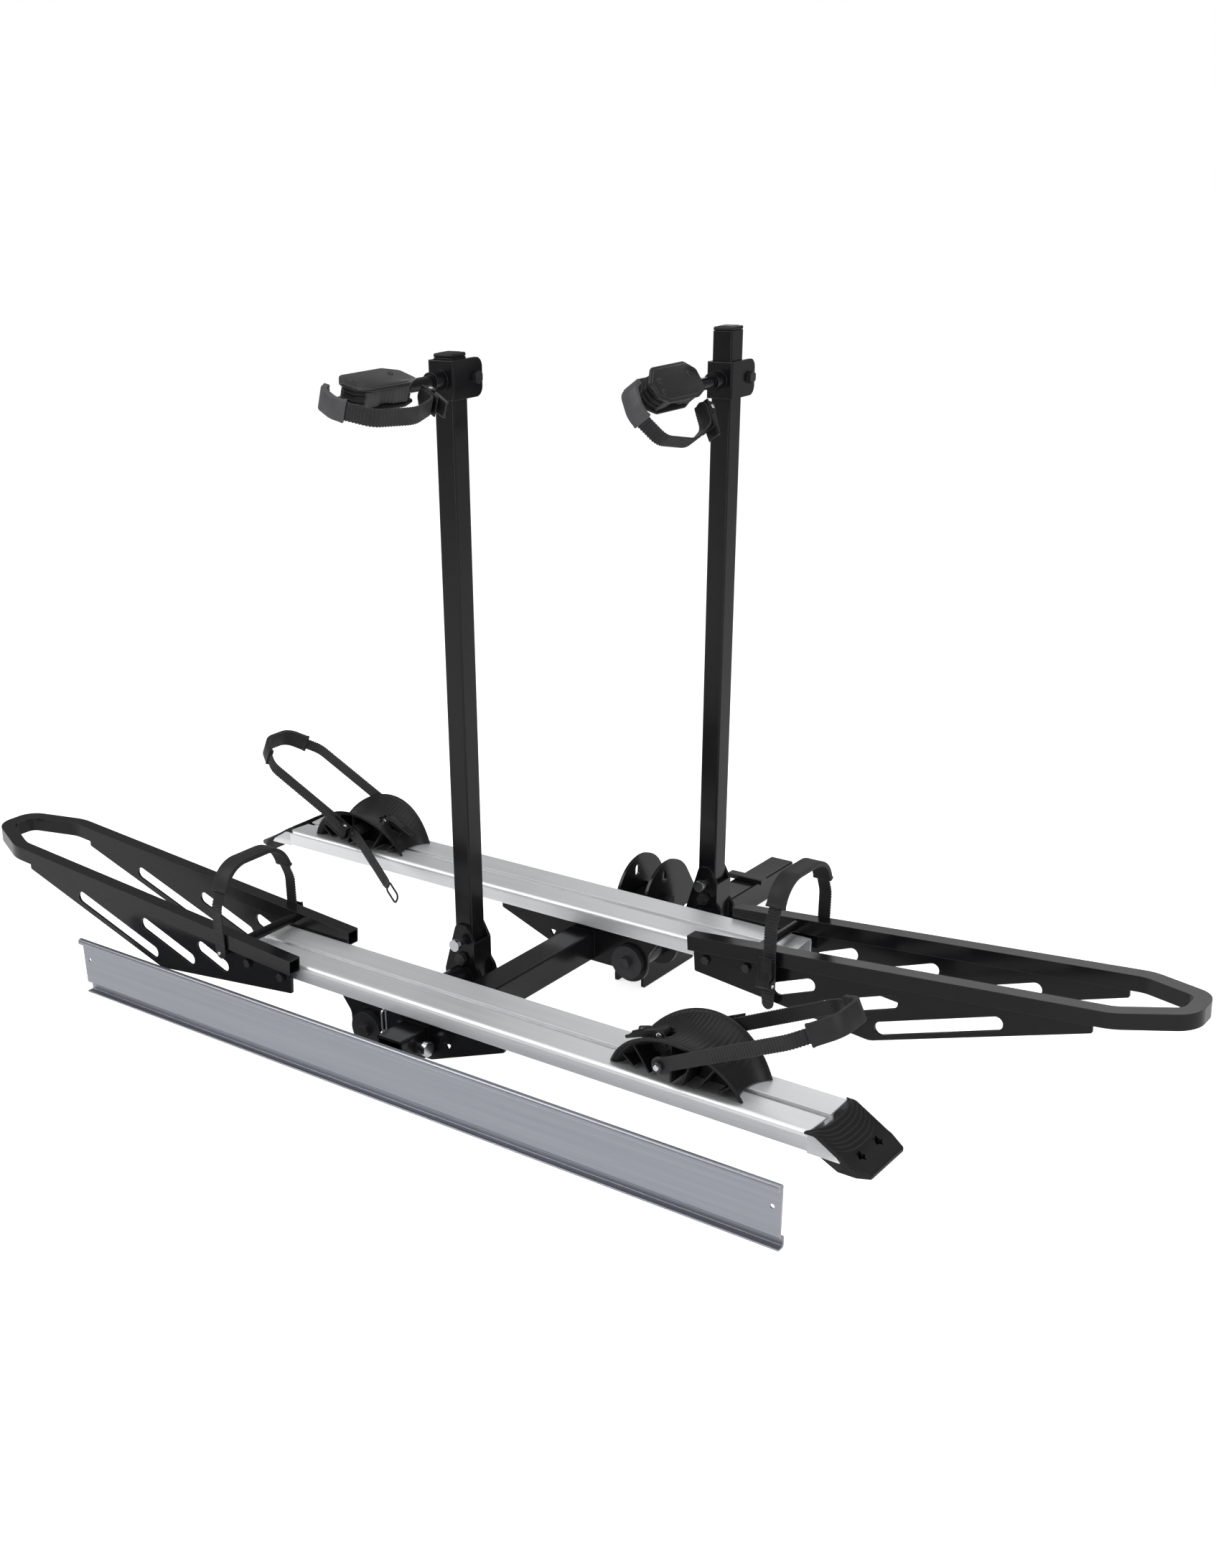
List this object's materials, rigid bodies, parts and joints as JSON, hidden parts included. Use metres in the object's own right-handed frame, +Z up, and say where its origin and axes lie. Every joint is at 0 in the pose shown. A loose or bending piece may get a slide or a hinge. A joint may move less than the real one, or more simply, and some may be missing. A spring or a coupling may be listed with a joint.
{
  "type": "hitch mounted bike rack",
  "caption": "Platform bike rack with wheel trays, wheel hoops, sliding wheel cups and folding masts with frame clamps, on a tilting two-inch hitch shank.",
  "frame": {"origin": "centre of the hitch-pin hole in the shank", "axes": "+X along the trays, +Y towards the vehicle, +Z up"},
  "size_m": [2.057, 1.2308, 1.116],
  "materials": {
    "black_coat": "gloss powder coat",
    "black_bolt": "black oxide, satin",
    "zinc": "bright zinc plate",
    "tray_aluminium": "satin anodised",
    "ramp_aluminium": "mill finish",
    "black_plastic": "moulded, fine grain",
    "strap_plastic": "moulded ladder strap",
    "strap_rubber": "soft matte"
  },
  "bodies": {
    "hitch_shank": {"shank_tube": "black_coat", "stop_bar": "black_coat", "shank_ears": "black_coat", "tilt_pivot_bolt": "black_bolt"},
    "tilt_lock": {"tilt_lock_pin": "zinc"},
    "rack": {"spine_tube": "black_coat", "tray_brackets": "black_coat", "mast_arms": "black_coat", "near_tray": "tray_aluminium", "near_end_cap": "black_plastic", "far_tray": "tray_aluminium", "far_end_cap": "black_plastic", "left_hoop_rail": "black_coat", "right_hoop_rail": "black_coat", "hoop_side_plates": "black_coat", "hoop_cross_bars": "black_coat", "hoop_fasteners": "black_bolt", "mast_feet": "black_coat", "frame_bolts": "black_bolt"},
    "receiver_pin": {"accessory_pin": "zinc"},
    "receiver_clip": {"accessory_pin_clip": "zinc"},
    "left_mast_post": {"left_mast": "black_coat", "left_mast_cap": "black_plastic"},
    "left_mast_lock": {"left_mast_lock_pin": "zinc"},
    "left_slider": {"left_collar": "black_coat", "left_collar_bolt": "black_bolt"},
    "left_clamp": {"left_clamp_arm": "black_coat", "left_clamp_head": "black_plastic", "left_clamp_strap": "strap_plastic", "left_clamp_pad": "strap_rubber"},
    "left_clamp_lever": {"left_clamp_buckle": "black_plastic"},
    "right_mast_post": {"right_mast": "black_coat", "right_mast_cap": "black_plastic"},
    "right_mast_lock": {"right_mast_lock_pin": "zinc"},
    "right_slider": {"right_collar": "black_coat", "right_collar_bolt": "black_bolt"},
    "right_clamp": {"right_clamp_arm": "black_coat", "right_clamp_head": "black_plastic", "right_clamp_strap": "strap_plastic", "right_clamp_pad": "strap_rubber"},
    "right_clamp_lever": {"right_clamp_buckle": "black_plastic"},
    "near_cup": {"near_wheel_cup": "black_plastic", "near_cup_bolt": "black_bolt"},
    "near_cup_latch_lever": {"near_cup_latch": "black_plastic"},
    "near_wheel_strap": {"near_cup_strap": "strap_plastic", "near_cup_pad": "strap_rubber"},
    "near_strap_lever": {"near_cup_buckle": "black_plastic"},
    "far_cup": {"far_wheel_cup": "black_plastic", "far_cup_bolt": "black_bolt"},
    "far_cup_latch_lever": {"far_cup_latch": "black_plastic"},
    "far_wheel_strap": {"far_cup_strap": "strap_plastic", "far_cup_pad": "strap_rubber"},
    "far_strap_lever": {"far_cup_buckle": "black_plastic"},
    "left_tyre_strap": {"left_hoop_strap": "strap_plastic", "left_hoop_pad": "strap_rubber"},
    "left_tyre_lever": {"left_hoop_buckle": "black_plastic"},
    "right_tyre_strap": {"right_hoop_strap": "strap_plastic", "right_hoop_pad": "strap_rubber"},
    "right_tyre_lever": {"right_hoop_buckle": "black_plastic"},
    "ramp": {"loading_ramp": "ramp_aluminium"}
  },
  "joints": [
    {"name": "rack_tilt", "type": "hinge", "parent": "hitch_shank", "child": "rack", "pos_m": [0, -0.407, 0.105], "axis": [-1, 0, 0], "range_deg": [-20, 90], "stiffness_Nm_per_rad": 100000},
    {"name": "tilt_lock_slide", "type": "slide", "parent": "hitch_shank", "child": "tilt_lock", "axis": [1, 0, 0], "range_m": [0, 0.058]},
    {"name": "receiver_pin_slide", "type": "slide", "parent": "rack", "child": "receiver_pin", "axis": [1, 0, 0], "range_m": [-0.008, 0.016]},
    {"name": "receiver_clip_slide", "type": "slide", "parent": "receiver_pin", "child": "receiver_clip", "axis": [0, 0, 1], "range_m": [0, 0.045]},
    {"name": "left_mast_fold", "type": "hinge", "parent": "rack", "child": "left_mast_post", "pos_m": [-0.098, -0.815, 0.118], "axis": [0, -1, 0], "range_deg": [0, 90]},
    {"name": "left_mast_lock_slide", "type": "slide", "parent": "rack", "child": "left_mast_lock", "axis": [0, 1, 0], "range_m": [0, 0.0085]},
    {"name": "left_collar_slide", "type": "slide", "parent": "left_mast_post", "child": "left_slider", "axis": [0, 0, 1], "range_m": [-0.75, 0], "stiffness_N_per_m": 30000},
    {"name": "left_clamp_swivel", "type": "hinge", "parent": "left_slider", "child": "left_clamp", "pos_m": [-0.098, -0.815, 1.038], "axis": [0, 1, 0], "range_deg": [-90, 90]},
    {"name": "left_clamp_lever_hinge", "type": "hinge", "parent": "left_clamp", "child": "left_clamp_lever", "pos_m": [-0.05688, -0.913, 1.02543], "axis": [0.2924, 0, 0.9563], "range_deg": [0, 70]},
    {"name": "right_mast_fold", "type": "hinge", "parent": "rack", "child": "right_mast_post", "pos_m": [0.098, -0.368, 0.118], "axis": [0, -1, 0], "range_deg": [0, 28]},
    {"name": "right_mast_lock_slide", "type": "slide", "parent": "rack", "child": "right_mast_lock", "axis": [0, 1, 0], "range_m": [0, 0.0085]},
    {"name": "right_collar_slide", "type": "slide", "parent": "right_mast_post", "child": "right_slider", "axis": [0, 0, 1], "range_m": [-0.7, 0.044], "stiffness_N_per_m": 30000},
    {"name": "right_clamp_swivel", "type": "hinge", "parent": "right_slider", "child": "right_clamp", "pos_m": [0.098, -0.368, 0.996], "axis": [0, 1, 0], "range_deg": [-90, 90]},
    {"name": "right_clamp_lever_hinge", "type": "hinge", "parent": "right_clamp", "child": "right_clamp_lever", "pos_m": [0.12266, -0.466, 0.96078], "axis": [0.8192, 0, 0.5736], "range_deg": [0, 70]},
    {"name": "near_cup_slide", "type": "slide", "parent": "rack", "child": "near_cup", "axis": [1, 0, 0], "range_m": [-0.2, 0.06]},
    {"name": "near_latch_hinge", "type": "hinge", "parent": "near_cup", "child": "near_cup_latch_lever", "pos_m": [0.427, -1.028, 0.21], "axis": [0, 1, 0], "range_deg": [0, 50]},
    {"name": "near_strap_swing", "type": "hinge", "parent": "near_cup", "child": "near_wheel_strap", "pos_m": [0.464, -1.028, 0.197], "axis": [0, -1, 0], "range_deg": [-18, 60], "stiffness_Nm_per_rad": 100},
    {"name": "near_strap_lever_hinge", "type": "hinge", "parent": "near_wheel_strap", "child": "near_strap_lever", "pos_m": [0.47303, -0.95, 0.20131], "axis": [-0.4305, 0, 0.9026], "range_deg": [0, 70]},
    {"name": "far_cup_slide", "type": "slide", "parent": "rack", "child": "far_cup", "axis": [-1, 0, 0], "range_m": [-0.2, 0.06]},
    {"name": "far_latch_hinge", "type": "hinge", "parent": "far_cup", "child": "far_cup_latch_lever", "pos_m": [-0.48, -0.581, 0.21], "axis": [0, -1, 0], "range_deg": [0, 50]},
    {"name": "far_strap_swing", "type": "hinge", "parent": "far_cup", "child": "far_wheel_strap", "pos_m": [-0.517, -0.581, 0.197], "axis": [0, 1, 0], "range_deg": [-18, 60], "stiffness_Nm_per_rad": 100},
    {"name": "far_strap_lever_hinge", "type": "hinge", "parent": "far_wheel_strap", "child": "far_strap_lever", "pos_m": [-0.52603, -0.659, 0.20131], "axis": [0.4305, 0, 0.9026], "range_deg": [0, 70]},
    {"name": "left_tyre_strap_swing", "type": "hinge", "parent": "rack", "child": "left_tyre_strap", "pos_m": [-0.38952, -1.028, 0.15684], "axis": [0, 1, 0], "range_deg": [-50, 50], "stiffness_Nm_per_rad": 100},
    {"name": "left_tyre_lever_hinge", "type": "hinge", "parent": "left_tyre_strap", "child": "left_tyre_lever", "pos_m": [-0.38952, -0.929, 0.13884], "axis": [-1, 0, 0], "range_deg": [0, 70]},
    {"name": "right_tyre_strap_swing", "type": "hinge", "parent": "rack", "child": "right_tyre_strap", "pos_m": [0.38952, -0.581, 0.15684], "axis": [0, -1, 0], "range_deg": [-50, 50], "stiffness_Nm_per_rad": 100},
    {"name": "right_tyre_lever_hinge", "type": "hinge", "parent": "right_tyre_strap", "child": "right_tyre_lever", "pos_m": [0.38952, -0.68, 0.13884], "axis": [1, 0, 0], "range_deg": [0, 70]},
    {"name": "ramp_lift_off", "type": "slide", "parent": "rack", "child": "ramp", "axis": [0, -1, 0], "range_m": [0, 0.3]}
  ]
}
